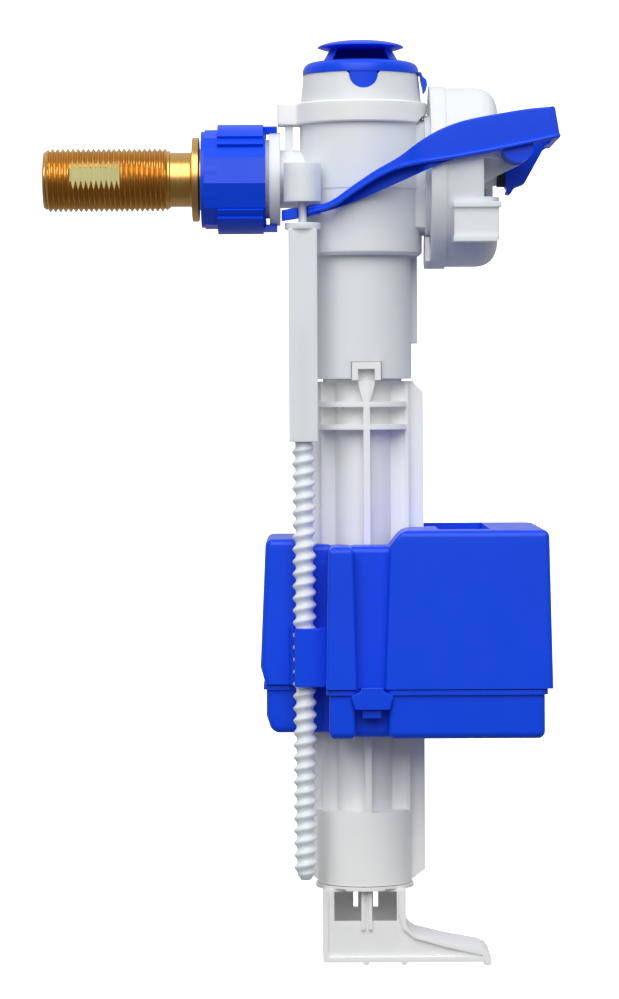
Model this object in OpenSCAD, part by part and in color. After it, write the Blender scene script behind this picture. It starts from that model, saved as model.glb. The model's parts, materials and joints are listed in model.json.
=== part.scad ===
// Side-inlet float valve for a toilet cistern: a servo valve with a diaphragm
// chamber, a lever, a threaded float rod, a guided float and a telescopic foot.
// Axes: X runs along the inlet, Z is up, -Y is the front.
// Origin: the inlet axis, at the left face of the brass flange.

/* [Inlet] */
// Outside radius of the G3/8 pipe thread
thread_crest_r = 8.33; // [8.3:0.01:8.4]
// Pitch of the pipe thread
thread_pitch = 1.337; // [1.3:0.001:1.4]
// Number of thread crests on the tail
thread_count = 24; // [18:1:24]
// Radius of the water way through the tail
inlet_bore_r = 5; // [4:0.1:5.5]
// Radius of the flange that meets the cistern wall
flange_r = 11; // [10.5:0.1:12]

/* [Head] */
// Distance from the flange face to the axis of the head and the column
head_x = 44.2; // [44:0.1:45]
// Radius of the head barrel
barrel_r = 16; // [15.8:0.1:16.2]
// Radius of the outlet tube under the barrel
outlet_r = 12.9; // [12.6:0.1:13]
// Height of the barrel's open top
barrel_top = 27; // [26.5:0.1:27]
// Radius of the diaphragm cover ring
cover_r = 23.4; // [23.2:0.1:23.6]

/* [Lever] */
// Pivot of the lever, along X
pivot_x = 83.9; // [83.8:0.1:84.1]
// Pivot of the lever, along Z
pivot_z = 6.6; // [6.5:0.1:6.8]
// Thickness of the lever's front wall
lever_wall = 1.8; // [1.4:0.1:1.9]

/* [Float rod] */
// Float rod axis, along X
rod_x = 28.8; // [28.7:0.1:28.9]
// Float rod axis, along Y
rod_y = -15.5; // [-15.6:0.1:-15.4]
// Side of the square pull sleeve
sleeve_side = 7.4; // [7:0.1:7.5]
// Crest radius of the spindle's coarse thread
spindle_crest_r = 3.05; // [2.9:0.05:3.1]
// Pitch of the spindle's coarse thread
spindle_pitch = 3.15; // [3:0.05:3.2]

/* [Float] */
// Height of the top face of the right-hand chamber
float_top = -91.2; // [-91.6:0.1:-90.9]
// Height of the joint between the hood and the tray
float_split = -131.5; // [-132:0.1:-131]
// Height of the underside of the tray
float_bottom = -144.3; // [-145:0.1:-143]
// Wall thickness of the float
float_wall = 1.6; // [1.2:0.1:1.8]
// Draft of the float walls over the height of the hood
float_draft = 0.8; // [0.4:0.1:1]

/* [Column and foot] */
// Height of the top of the ribbed column
column_top = -53; // [-53.2:0.1:-52.8]
// Height of the bottom of the column's socket
column_bottom = -183.8; // [-184:0.1:-183]
// Height of the surface that the foot stands on
foot_bottom = -204.5; // [-205:0.1:-204]

/* [Hidden] */
$fn = 96;
over = 1;
// Distance that the front rib and the latch stand to the right of the head's axis
latch_x = 0.9;

// Inlet
thread_depth = 0.856;
thread_land = 0.3;
thread_root_r = thread_crest_r - thread_depth;
tail_start = -38.9;
tail_end = 9.2;
neck_r = 7.1;
hub_r = 8;
flange_t = 1.8;
clip_groove_r = 6.9;
clip_x = 7;
clip_t = 1.2;
seal_t = 1.8;
stub_x = tail_end + seal_t;
nut_r = 13;
nut_start = 2.4;
nut_end = 19.2;
nut_face_count = 12;
collar_x = 20.2;
collar_r = 12.2;

// Head
cavity_r = 13.2;
cavity_floor = -7;
floor_t = 2.5;
skirt_r = 15.8;
skirt_bottom = -20.4;
tube_bottom = -52.4;
tube_bore_r = 10.6;
ring_z = 13.9;
ring_h = 5.7;
tab_x = head_x + 0.5;
ring_r = 17.3;

// Diaphragm chamber, on an axis along X
chamber_z = 0.2;
chamber_x = 62;
chamber_r = 20.2;
seat_x = 66.4;
diaphragm_x = 66.5;
diaphragm_t = 1.5;
core_r = 9.2;
seat_r = 5.8;
seat_bore_r = 4.2;
ring_back_x = 61.9;
ring_face_x = 79.5;
ring_open_r = 16.6;
nozzle_x = 79.6;

// Pivot
cheek_in = 8;
cheek_out = 10.5;
pin_r = 2;
running_gap = 0.05;
lever_front_y = -26.4;
arm_bend_x = 62;
arm_angle = 16;

// Rod
pin_top_z = -1;
rod_pin_r = 1.1;
collar_z = -13.9;
sleeve_bottom = -68.6;
spindle_root_r = 2.2;
spindle_turns = 35;
journal_r = 2.35;

// Column
plate_x = 11.3;
fin_x = 15.85;
fin_t = 1.6;
inner_tube_r = 8;
socket_r = 12.3;
socket_top = -164.7;
guide_hole_r = 12.6;

// Foot
foot_half = 10.75;
foot_toe_x = 77.4;
foot_wall = 1.6;
window_low = -193;
window_high = -185.4;

// Turns a shape so that its own Z axis runs along +X.
module along_x(x = 0, z = 0) {
  translate([x, 0, z]) rotate([0, 90, 0]) children();
}

// Turns an outline drawn in X and Z into a plate from y0 to y1.
module plate_xz(y0, y1) {
  translate([0, y1, 0]) rotate([90, 0, 0]) linear_extrude(y1 - y0) children();
}

// A box given by its lowest and highest corners.
module span(low, high) {
  translate(low) cube(high - low);
}

// A round part on the head's axis.
module on_head() {
  translate([head_x, 0, 0]) children();
}

// A round part on the float rod's axis.
module on_rod() {
  translate([rod_x, rod_y, 0]) children();
}

// A point on a cubic curve through four control points.
function bezier(a, b, c, d, t) =
  pow(1 - t, 3) * a + 3 * t * pow(1 - t, 2) * b + 3 * t * t * (1 - t) * c + pow(t, 3) * d;
function curve(a, b, c, d, steps) = [for (i = [0:steps]) bezier(a, b, c, d, i / steps)];

// The outline of a thread drawn as separate rings.
function crest_rings(start, pitch, count, root, crest, land) =
  [for (i = [0:count - 1], k = [0:3])
    [k == 0 || k == 3 ? root : crest,
     start + pitch * (i + 0.5) + [-pitch * 0.42, -land / 2, land / 2, pitch * 0.42][k]]];

module inlet_tail() {
  flat_x = [-31.8, -18.7];
  flat_r = 7.35;
  flat_tilt = -8;
  color("goldenrod") difference() {
    along_x() rotate_extrude() polygon(concat(
      [[inlet_bore_r, tail_start], [thread_root_r, tail_start]],
      crest_rings(tail_start, thread_pitch, thread_count, thread_root_r, thread_crest_r, thread_land),
      [[thread_root_r, -5.9], [neck_r, -5.9], [neck_r, 0], [flange_r, 0], [flange_r, flange_t],
       [hub_r, flange_t], [hub_r, clip_x], [clip_groove_r, clip_x], [clip_groove_r, clip_x + clip_t],
       [hub_r, clip_x + clip_t], [hub_r, tail_end], [inlet_bore_r, tail_end]]));
    for (side = [0, 180])
      rotate([side + flat_tilt, 0, 0]) span([flat_x[0], -thread_crest_r - over, -5], [flat_x[1], -flat_r, 5]);
  }
}

module clip_ring() {
  ring_out_r = 10.2;
  gap = 3;
  color("whitesmoke") difference() {
    along_x(clip_x + 0.05) difference() {
      cylinder(r = ring_out_r, h = clip_t - 0.1);
      translate([0, 0, -over]) cylinder(r = clip_groove_r + 0.05, h = clip_t + 2 * over);
    }
    span([clip_x - over, -gap / 2, 0], [clip_x + clip_t + over, gap / 2, ring_out_r + over]);
  }
}

module inlet_seal() {
  color("dimgray") along_x(tail_end) difference() {
    cylinder(r = 9.8, h = seal_t);
    translate([0, 0, -over]) cylinder(r = inlet_bore_r + 0.2, h = seal_t + 2 * over);
  }
}

module union_nut() {
  lip_end = 6.8;
  lip_bore_r = 8.15;
  thread_bore_r = 10.6;
  grip_r = 14.35;
  key_r = 11.2;
  color("royalblue") difference() {
    union() {
      along_x(nut_start) cylinder(r = 12.6, h = lip_end - nut_start);
      along_x(nut_start + 0.9) rotate(7.5)
        cylinder(r = nut_r, h = nut_end - nut_start - 0.9, $fn = nut_face_count);
      for (turn = [0, 180]) rotate([turn, 0, 0]) {
        along_x(lip_end - 0.1) {
          rotate(129) rotate_extrude(angle = 102) square([grip_r - 0.75, 11.9]);
          rotate(138) rotate_extrude(angle = 84) square([grip_r, 11.9]);
        }
        along_x(16) rotate(165) rotate_extrude(angle = 30)
          translate([key_r, 0]) square([13.9 - key_r, 6.2]);
      }
    }
    along_x(nut_start - over) cylinder(r = lip_bore_r, h = nut_end);
    along_x(lip_end) cylinder(r = thread_bore_r, h = nut_end);
    along_x(nut_end + 0.15) cylinder(r = collar_r + 0.15, h = 5);
  }
}

module valve_body() {
  notch_r = 3.7;
  neck_half = 7.5;
  rib_y = 2.5;
  color("aliceblue") difference() {
    union() {
      on_head() rotate_extrude() polygon([
        [0, cavity_floor], [cavity_r, cavity_floor], [cavity_r, barrel_top], [15.05, barrel_top],
        [15.76, 20], [barrel_r, 20], [barrel_r, -3.1], [skirt_r, -3.1], [skirt_r, skirt_bottom + 0.9],
        [skirt_r - 0.9, skirt_bottom], [outlet_r, skirt_bottom], [outlet_r, tube_bottom],
        [tube_bore_r, tube_bottom], [tube_bore_r, cavity_floor - floor_t], [0, cavity_floor - floor_t]]);
      inlet_stub();
      difference() {
        union() {
          intersection() {
            along_x(50, chamber_z) cylinder(r = 15.2, h = 12);
            span([50, -neck_half, -20], [62, neck_half, 20]);
          }
          along_x(chamber_x - 1.4, chamber_z) cylinder(r = 16.2, h = 2);
          along_x(chamber_x, chamber_z) cylinder(r = chamber_r, h = diaphragm_x - chamber_x);
        }
        along_x(chamber_x + 0.1, chamber_z) cylinder(r = 14.5, h = 10);
        on_head() translate([0, 0, cavity_floor - floor_t - 40]) cylinder(r = tube_bore_r, h = 40);
        on_head() translate([0, 0, cavity_floor]) cylinder(r = cavity_r, h = 60);
      }
      along_x(57, chamber_z) cylinder(r = seat_r, h = seat_x - 57);
      rod_guide();
      span([head_x + 11, rib_y, -43.2], [head_x + 14.6, rib_y + 1.6, skirt_bottom + 1]);
      span([24.3, -3, 6], [26.4, 3, ring_z]);
    }
    along_x(stub_x - over) cylinder(r = inlet_bore_r, h = 24);
    along_x(52, chamber_z) cylinder(r = seat_bore_r, h = 20);
    span([52, -6, -13], [62.5, 6, cavity_floor - floor_t]);
    plate_xz(-cavity_r - 8, -cavity_r + 2) translate([tab_x, barrel_top - 0.7]) {
      circle(r = notch_r);
      polygon([[-notch_r, 0], [notch_r, 0], [notch_r + 1, 1], [-notch_r - 1, 1]]);
    }
    span([head_x + latch_x - 3.9, -outlet_r - over, tube_bottom - over],
         [head_x + latch_x + 3.9, -tube_bore_r + 2, -48]);
  }
}

// The threaded stub that the union nut draws on to, with its collar.
module inlet_stub() {
  difference() {
    union() {
      along_x(stub_x) cylinder(r = 10.3, h = collar_x - stub_x);
      along_x(collar_x) cylinder(r = collar_r, h = 2.8);
      along_x(collar_x) cylinder(r = 7.6, h = 12);
    }
    on_head() cylinder(r = cavity_r, h = 60, center = true);
  }
}

// The boss at the front of the inlet that guides the float rod's pin.
module rod_guide() {
  difference() {
    union() {
      on_rod() translate([0, 0, -6.8]) cylinder(r = 4.8, h = 10);
      span([rod_x - 3.4, rod_y, -5], [rod_x + 3.4, -5.5, 2.6]);
    }
    on_rod() translate([0, 0, -6.8 - over]) cylinder(r = rod_pin_r + 0.15, h = 7.8);
    along_x(stub_x) cylinder(r = inlet_bore_r, h = 30);
    on_head() cylinder(r = cavity_r, h = 60, center = true);
  }
}

module retaining_ring() {
  color("white") difference() {
    union() {
      on_head() translate([0, 0, ring_z]) cylinder(r = ring_r, h = ring_h);
      span([22.3, -4.5, ring_z], [30, 4.5, ring_z + ring_h]);
    }
    on_head() translate([0, 0, ring_z - over]) cylinder(r = barrel_r + 0.05, h = ring_h + 2 * over);
    along_x(50, chamber_z) cylinder(r = 16.6, h = 20);
  }
}

module top_cap() {
  lid_r = 15.2;
  lid_top = 30.1;
  disc_r = 11.3;
  tab_r = 3.6;
  color("royalblue") {
    on_head() rotate_extrude() polygon(concat(
      [[0, 20], [12.7, 20], [12.7, 22.05], [11, 22.05], [11, 24.35], [12.7, 24.35], [12.7, barrel_top],
       [lid_r, barrel_top]],
      curve([lid_r, barrel_top + 0.5], [lid_r, 29.4], [14.2, 30.4], [12, lid_top + 0.3], 8),
      [[11.4, lid_top + 0.3], [11.1, lid_top], [0, lid_top]]));
    difference() {
      on_head() rotate_extrude() polygon([[10.3, lid_top - 0.2], [8, 34], [6.6, 34], [8.9, lid_top - 0.2]]);
      plate_xz(-20, 3) translate([head_x, 0])
        polygon([[-7.7, lid_top], [7.7, lid_top], [6, 33.8], [-6, 33.8]]);
    }
    on_head() rotate_extrude() polygon(concat(
      [[0, 33.8], [9.8, 33.8]],
      curve([disc_r, 34.3], [disc_r + 0.1, 34.9], [8, 36.1], [0, 36.3], 8)));
    intersection() {
      translate([tab_x, 0, barrel_top - 0.7]) rotate([90, 0, 0]) cylinder(r = tab_r, h = 20);
      on_head() translate([0, 0, 20]) difference() {
        cylinder(r = 15, h = barrel_top - 19.8);
        translate([0, 0, -over]) cylinder(r = cavity_r + 0.1, h = 20);
      }
    }
    plate_xz(-4, 4) polygon([
      [57.5, 27.6], [59.9, 27.6], [60.4, 26.4], [61.3, 25.6], [61.5, 24.2],
      [61.2, 23], [60.5, 22.2], [60.3, 23.8], [59.9, 25.4], [59.7, 27.05]]);
  }
}

module cap_seal() {
  color("dimgray") on_head() translate([0, 0, 23.2])
    rotate_extrude() translate([12.1, 0]) circle(r = 1.05, $fn = 32);
}

module filter_basket() {
  basket_r = 11.4;
  wall = 1.1;
  low = -6;
  slots = 10;
  color("whitesmoke") on_head() difference() {
    translate([0, 0, low]) cylinder(r = basket_r, h = 20 - low);
    translate([0, 0, low + wall]) cylinder(r = basket_r - wall, h = 40);
    for (i = [0:slots - 1]) rotate(i * 360 / slots)
      span([basket_r - 3, -2.4, low + 3], [basket_r + over, 2.4, 15]);
  }
}

module chamber_cover() {
  cover_x = diaphragm_x + diaphragm_t;
  color("aliceblue") difference() {
    union() {
      along_x(0, chamber_z) rotate_extrude() polygon([
        [0.8, 73.2], [13.4, 73.2], [15.4, 71.5], [15.4, cover_x], [20.1, cover_x], [20.1, cover_x + 2.6],
        [17.2, cover_x + 2.6], [17.2, 72.5], [14.8, 75], [3.2, 75], [2.2, nozzle_x], [0.8, nozzle_x]]);
      for (side = [0, 1]) mirror([0, side, 0]) plate_xz(-cheek_out, -cheek_in) difference() {
        polygon([[74, -3], [79.6, 0.2], [85.5, 3], [87, 4.6], [87.6, 6.6], [87, 9], [84.8, 10.6], [74, 10.6]]);
        translate([pivot_x, pivot_z]) circle(r = pin_r + running_gap);
      }
    }
  }
}

module cover_ring() {
  rim_r = 23.9;
  hook_angles = [-22, 85];
  color("aliceblue") difference() {
    union() {
      along_x(0, chamber_z) rotate_extrude() polygon(concat(
        [[ring_open_r, ring_face_x]],
        curve([cover_r - 5.4, ring_face_x], [cover_r - 2.2, ring_face_x],
              [cover_r, ring_face_x - 2.4], [cover_r, ring_face_x - 5.6], 8),
        [[cover_r, 65.8], [rim_r, 65.8], [rim_r, ring_back_x],
         [20.5, ring_back_x], [20.5, 77.6], [ring_open_r, 77.6]]));
      for (angle = hook_angles) along_x(0, chamber_z) rotate(angle) rotate_extrude(angle = 44)
        polygon([[17, 60.6], [rim_r, 60.6], [rim_r, ring_back_x], [17, ring_back_x - 0.05]]);
      difference() {
        union() {
          span([67.4, -24.4, -8.7], [ring_face_x + 0.2, -14, -7.3]);
          span([67.4, -24.4, -17.5], [ring_face_x - 0.8, -14, -16.1]);
          span([67.6, -23.6, -16.8], [ring_face_x - 0.4, -14, -7.8]);
        }
        along_x(60, chamber_z) cylinder(r = 22, h = 30);
      }
    }
    span([ring_face_x - 4.2, -24, -6], [ring_face_x + over, -14, 4]);
  }
}

module diaphragm() {
  color("dimgray") along_x(diaphragm_x, chamber_z) rotate_extrude() polygon([
    [core_r + 0.2, 0.1], [14.4, 0.1], [14.6, 0], [20.1, 0], [20.1, diaphragm_t], [15.3, diaphragm_t],
    [14.4, 2.3], [12.6, 2.3], [11.4, 1.4], [core_r + 0.2, 1.4]]);
}

module diaphragm_core() {
  color("whitesmoke") along_x(diaphragm_x, chamber_z) rotate_extrude() polygon([
    [0.6, 0], [core_r, 0], [core_r, 2.4], [6, 2.4], [4, 4.4], [0.6, 4.4]]);
}

// Upper edge of the lever's front wall, from the bend to the right end.
function wall_top() = curve([arm_bend_x, 9.9], [66, 12.2], [70, 13.8], [78.2, 14.8], 8);
function wall_bottom() = [[94.6, 8.7], [72.6, 4.3], [65.4, 3.1], [arm_bend_x, 2.6]];

module lever() {
  color("royalblue") {
    plate_xz(lever_front_y, lever_front_y + lever_wall)
      polygon(concat(wall_top(), [[86.3, 16.1], [92, 16.7], [93.3, 16.3], [93.7, 13.4]], wall_bottom()));
    plate_xz(lever_front_y - 0.5, lever_front_y)
      polygon([
        [94.6, 8.7], [94.6, 10], [72.6, 5.6], [65.4, 4.4], [arm_bend_x, 3.9],
        [arm_bend_x, 2.6], [65.4, 3.1], [72.6, 4.3]]);
    lever_arm();
    lever_fork();
    plate_xz(lever_front_y, cheek_out + 2.2)
      polygon([[91.4, 16.7], [92, 16.7], [93.3, 16.3], [93.7, 13.4], [94.6, 8.7], [92.4, 8.4], [91.4, 13.2]]);
    plate_xz(cheek_out + 0.4, cheek_out + 2.2)
      polygon([[pivot_x, pivot_z + 4], [92.4, 13.5], [93.4, 8.6], [pivot_x, pivot_z - 4]]);
    lever_trunnion(-1, lever_front_y + lever_wall);
    lever_trunnion(1, cheek_out + 2.2);
    lever_tail();
  }
}

// The arm from the bend to the fork, swung in towards the barrel.
module lever_arm() {
  reach = 33.4;
  translate([arm_bend_x, lever_front_y, 0]) rotate([0, 0, -arm_angle]) translate([-arm_bend_x, 0, 0]) {
    lever_back_wall();
    plate_xz(0, lever_wall) polygon(concat(
      [for (p = curve([arm_bend_x - reach, -7.6], [arm_bend_x - reach + 8, -6.6],
                      [arm_bend_x - 17, 2], [arm_bend_x, 9.9], 14)) p],
      [[arm_bend_x + 0.2, 9.9], [arm_bend_x + 0.2, 2.6]],
      [for (p = curve([arm_bend_x, 2.6], [arm_bend_x - 16, 0.4],
                      [arm_bend_x - 22, -8.4], [arm_bend_x - reach, -10.6], 14)) p]));
  }
}

// The back wall that makes a channel of the arm, with the flange that joins the two walls.
module lever_back_wall() {
  edge = [[35, -7.4], [41.5, -2.9], [47.1, 0.6], [52.6, 3.6], [58.4, 6.5]];
  low_edge = [[58.4, 0.2], [52.6, -2.2], [43.3, -6.1], [35, -8.9]];
  plate_xz(2.7, 3.7) polygon(concat(edge, low_edge));
  plate_xz(lever_wall - 0.2, 2.9) polygon(concat(edge, [for (i = [4:-1:0]) edge[i] - [0, 1.1]]));
}

// The hook that holds the neck of the pull sleeve, open at the front.
module lever_fork() {
  translate([rod_x, 0, -9.4]) rotate([0, -10, 0]) translate([-rod_x, 0, -1.35]) linear_extrude(2.7) polygon([
    [23.4, -17.2], [24.2, -18.2], [27.5, -18.2], [27.5, -16.9], [26, -16.5], [26, -14.1],
    [30.5, -14.1], [30.5, -17.3], [35, -18.6],
    [35, -15.8], [30.8, -12.3], [25.2, -12.3], [23.4, -13.6]]);
}

module lever_trunnion(side, outer_y) {
  boss_r = 4;
  boss_in = cheek_out + 0.3;
  outer = abs(outer_y);
  mirror([0, side > 0 ? 1 : 0, 0]) translate([pivot_x, 0, pivot_z]) rotate([90, 0, 0]) {
    translate([0, 0, boss_in]) cylinder(r = boss_r, h = outer - boss_in);
    translate([0, 0, cheek_in + 0.2]) cylinder(r = pin_r, h = boss_in - cheek_in);
  }
}

module lever_tail() {
  plate_xz(-4, 4) polygon([
    [92.4, 12], [93.4, 8.7], [92.2, 8.2], [86.7, -1.7], [84.2, -2.6], [83, -4.5], [81.8, -4.2],
    [82.3, -2.9], [81.7, -2.6], [81.7, 3], [83.4, 3.4], [90.5, 11.5]]);
}

module lever_pad() {
  color("black") along_x(nozzle_x + 0.05, chamber_z) cylinder(r = 2.6, h = 81.7 - nozzle_x - 0.05);
}

module pull_sleeve() {
  half = sleeve_side / 2;
  bore_top = -40;
  color("aliceblue") on_rod() difference() {
    union() {
      translate([0, 0, -12.3]) cylinder(r = rod_pin_r, h = 12.3 + pin_top_z);
      translate([0, 0, collar_z]) cylinder(r = 4.6, h = 1.7);
      span([-half, -half, sleeve_bottom], [half, half, collar_z]);
    }
    translate([0, 0, sleeve_bottom - over])
      cylinder(r = journal_r + running_gap, h = bore_top - sleeve_bottom + over);
  }
}

module threaded_spindle() {
  thread_end = sleeve_bottom - 0.1 - spindle_turns * spindle_pitch;
  color("aliceblue") on_rod() rotate_extrude() polygon(concat(
    [[0, thread_end - 2.5], [1.2, thread_end - 2.5], [spindle_root_r, thread_end]],
    crest_rings(thread_end, spindle_pitch, spindle_turns, spindle_root_r, spindle_crest_r, 0.7),
    [[journal_r, sleeve_bottom - 0.1], [journal_r, -46], [0, -46]]));
}

// A block whose four sides spread by the draft towards its lower face.
module drafted(low, high, draft) {
  intersection() {
    plate_xz(low[1] - draft - over, high[1] + draft + over) polygon([
      [low[0] - draft, low[2]], [high[0] + draft, low[2]], [high[0], high[2]], [low[0], high[2]]]);
    translate([low[0] - draft - over, 0, 0]) rotate([90, 0, 90])
      linear_extrude(high[0] - low[0] + 2 * (draft + over)) polygon([
        [low[1] - draft, low[2]], [high[1] + draft, low[2]], [high[1], high[2]], [low[1], high[2]]]);
  }
}

// The float's mass of joined blocks between two heights, shrunk by an inset.
module float_mass(low, inset, draft) {
  top = float_top - inset;
  left_top = top - 2.8;
  front_top = top - 4.2;
  drafted([17.8 + inset, -10 + inset, low], [30, 33 - inset, left_top], draft);
  drafted([28 + inset, -10 + inset, low], [60 - inset, 33 - inset, front_top], draft);
  drafted([35 + inset, -29 + inset, low], [41.4 - inset, 4, front_top], draft);
  drafted([40 + inset, -24.5 + inset, low], [54, 4, front_top], draft);
  drafted([50.5 + inset, -28.6 + inset, low], [91.2 - inset, 33 - inset, top], draft);
}

// The space that the column, with its two side fins, slides in.
module guide_space(grow, low, high) {
  translate([head_x, 0, low]) cylinder(r = guide_hole_r + grow, h = high - low);
  span([head_x - fin_x - 0.6 - grow, -1.4 - grow, low], [head_x + fin_x + 0.6 + grow, 1.4 + grow, high]);
}

module float_hood() {
  recess_floor = -96;
  color("royalblue") difference() {
    union() {
      difference() {
        float_mass(float_split, 0, float_draft);
        translate([0, 0, -0.01]) float_mass(float_split, float_wall, float_draft);
      }
      intersection() {
        guide_space(float_wall, float_split, float_top);
        float_mass(float_split, 0.1, float_draft);
      }
      float_recess(float_wall, recess_floor, float_top - 1);
    }
    guide_space(0, float_split - over, float_top + over);
    float_recess(0, recess_floor, float_top + over);
  }
  color("royalblue") plate_xz(-29.75, -28.85) polygon([
    [41.9, float_split + 3], [41.3, float_split - 2], [42, float_split - 5],
    [51.5, float_split - 5], [52.2, float_split - 2], [51.6, float_split + 3]]);
}

// The pocket in the top of the tall chamber, grown by a wall's thickness.
module float_recess(grow, low, high) {
  span([63.2 - grow, -20 - grow, low - grow], [76.5 + grow, 8, high]);
  span([59.5 - grow, 4 - grow, low - grow], [76.5 + grow, 29 + grow, high]);
}

module float_tray() {
  lip = 1.5;
  color("royalblue") difference() {
    union() {
      tray_mass(0);
      intersection() {
        tray_mass(-0.5);
        span([0, -40, float_split - lip], [120, 40, float_split]);
      }
    }
    difference() {
      tray_mass(float_wall);
      guide_space(float_wall, float_bottom, float_split);
    }
    guide_space(0, float_bottom - over, float_split + over);
  }
}

module tray_mass(inset) {
  low = float_bottom + inset;
  high = float_split + (inset > 0 ? over : 0);
  span([19.6 + inset, -9 + inset, low], [60 - inset, 32.2 - inset, high]);
  span([35 + inset, -28.2 + inset, low], [41.7 - inset, 4, high]);
  span([40 + inset, -23.6 + inset, low], [54, 4, high]);
  span([50.4 + inset, -28.2 + inset, low], [89.6 - inset, 32.2 - inset, high]);
}

module spindle_clip() {
  low = float_split;
  high = -116.5;
  color("mediumblue") difference() {
    union() {
      span([rod_x - 2.6, rod_y - 4.9, low], [35.4, -9, high]);
      span([rod_x - 4, rod_y + 3, low], [rod_x, -9, high]);
    }
    on_rod() translate([0, 0, low - over]) cylinder(r = spindle_crest_r + 0.1, h = 20);
    float_mass(float_split, 0, float_draft);
  }
}

module guide_column() {
  spigot_top = -24;
  spigot_r = 10.3;
  plate_heights = [-59.7, -65.6];
  color("white") on_head() difference() {
    union() {
      translate([0, 0, column_top - 0.3]) cylinder(r = spigot_r, h = spigot_top - column_top + 0.3);
      translate([0, 0, socket_top - 1]) cylinder(r = inner_tube_r, h = column_top - socket_top + 1);
      translate([0, 0, column_bottom]) cylinder(r = socket_r, h = socket_top - column_bottom);
      for (z = plate_heights) intersection() {
        translate([0, 0, z]) cylinder(r = socket_r, h = 1.4);
        span([-plate_x, -20, z], [plate_x, 20, z + 1.4]);
      }
      span([-plate_x + 0.9, -3.4, socket_top - 1], [plate_x, 3.4, column_top]);
      for (x = [-plate_x + 0.9, plate_x + 0.1])
        span([x - 0.5, -4, socket_top - 1], [x + 0.5, 4, column_top]);
      span([latch_x - 0.85, -socket_r, socket_top - 1], [latch_x + 0.85, -inner_tube_r + 1, column_top]);
      span([-0.85, inner_tube_r - 1, socket_top - 1], [0.85, socket_r, column_top]);
      plate_xz(-fin_t / 2, fin_t / 2) for (side = [0, 1]) mirror([side, 0]) polygon([
        [inner_tube_r - 1, column_top], [fin_x - 2.7, column_top], [fin_x, column_top - 2.9],
        [fin_x, column_bottom + 3.1], [socket_r, column_bottom + 0.4], [inner_tube_r - 1, column_bottom + 10]]);
      plate_xz(-socket_r + 0.5, -inner_tube_r) translate([latch_x, column_top])
        polygon([[-2.4, 0], [2.4, 0], [1, -5], [-1, -5]]);
      latch();
    }
    translate([0, 0, column_bottom - over]) cylinder(r = 6.6, h = 200);
    translate([0, 0, column_bottom - over]) cylinder(r = tube_bore_r, h = 16 + over);
    translate([0, 0, spigot_top - 28]) cylinder(r = 9.1, h = 40);
  }
}

// The sprung tab that locks the column in the outlet tube.
module latch() {
  plate_xz(-outlet_r - 0.3, -9.6) translate([latch_x, 0]) difference() {
    translate([-3.75, -52.8]) square([7.5, 4.7]);
    translate([-2.15, -54]) square([4.3, 4.1]);
  }
}
module support_foot() {
  spigot_h = 12;
  panel_depth = 0.8;
  color("white") on_head() difference() {
    union() {
      translate([0, 0, column_bottom - 1.2]) cylinder(r = 12.8, h = 1);
      translate([0, 0, column_bottom - 1.2]) cylinder(r = 10.3, h = spigot_h);
      span([-foot_half - 0.3, -foot_half, foot_bottom + 0.9],
           [foot_half - 0.3, foot_half, column_bottom - 1.1]);
      plate_xz(-foot_half, foot_half) translate([-head_x - 0.7, 0]) foot_arm();
      for (x = [0.1, 10]) translate([x, -foot_half, foot_bottom + 0.9])
        rotate([-90, 0, 0]) cylinder(r = 0.8, h = 2 * foot_half);
    }
    translate([0, 0, foot_bottom - over]) cylinder(r = 9.1, h = 60);
    span([-foot_half - 0.3 + foot_wall, -foot_half + foot_wall, foot_bottom - over],
         [foot_half - 0.3 - foot_wall, foot_half - foot_wall, column_bottom - 3]);
    for (x = [[-8.1, -1.1], [1.7, 8.1]]) span([x[0], -20, window_low], [x[1], 0, window_high]);
    for (x = [[-2.9, -1.7], [2.3, 3.6]]) span([x[0], 0, window_low + 1], [x[1], 20, window_high]);
    plate_xz(-foot_half + foot_wall, foot_half - foot_wall) translate([-head_x - 0.7, 0])
      polygon([[56.5, foot_bottom - over], [75.7, foot_bottom - over], [75.7, -203], [56.5, -198.6]]);
    plate_xz(-foot_half - over, -foot_half + panel_depth) translate([-0.7, 0]) foot_panel();
  }
}

// The sunk panel in the foot's front face, inside its rim, with the ribbed post left standing.
module foot_panel() {
  rim = 1.3;
  low = foot_bottom + 0.9 + rim;
  difference() {
    polygon([
      [-foot_half + 0.4 + rim, low], [31, low], [31, low + 0.4], [22, -199.9], [13.4, -197.5],
      [10.4, -195], [9.4, -191], [9.4, window_high + 0.8], [-foot_half + 0.4 + rim, window_high + 0.8]]);
    for (x = [-0.4, 1.5]) translate([x, -195.2]) square([0.9, 20]);
  }
}

// Side view of the arm that stops the foot from turning in a corner.
module foot_arm() {
  polygon(concat(
    [[54, -186], [54.7, -186]],
    curve([54.7, -188.4], [54.9, -195.2], [56, -196.8], [61, -197.6], 8),
    [[66.1, -198.9], [74.5, -200.4], [76.4, -201.3], [foot_toe_x, -202.6],
     [foot_toe_x, foot_bottom], [75.7, foot_bottom],
     [75.7, foot_bottom + 0.9], [54, foot_bottom + 0.9]]));
}

inlet_tail();
clip_ring();
inlet_seal();
union_nut();
valve_body();
retaining_ring();
top_cap();
cap_seal();
filter_basket();
chamber_cover();
cover_ring();
diaphragm();
diaphragm_core();
lever();
lever_pad();
pull_sleeve();
threaded_spindle();
float_hood();
float_tray();
spindle_clip();
guide_column();
support_foot();
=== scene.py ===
"""Looks of a side-inlet float valve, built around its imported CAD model.

Lengths in this script are millimetres until MM turns them into metres.
X runs along the inlet, Z is up and -Y is the front, as in the CAD frame.
"""

import json
import math

import bmesh
import bpy
from mathutils import Matrix, Vector


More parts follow.
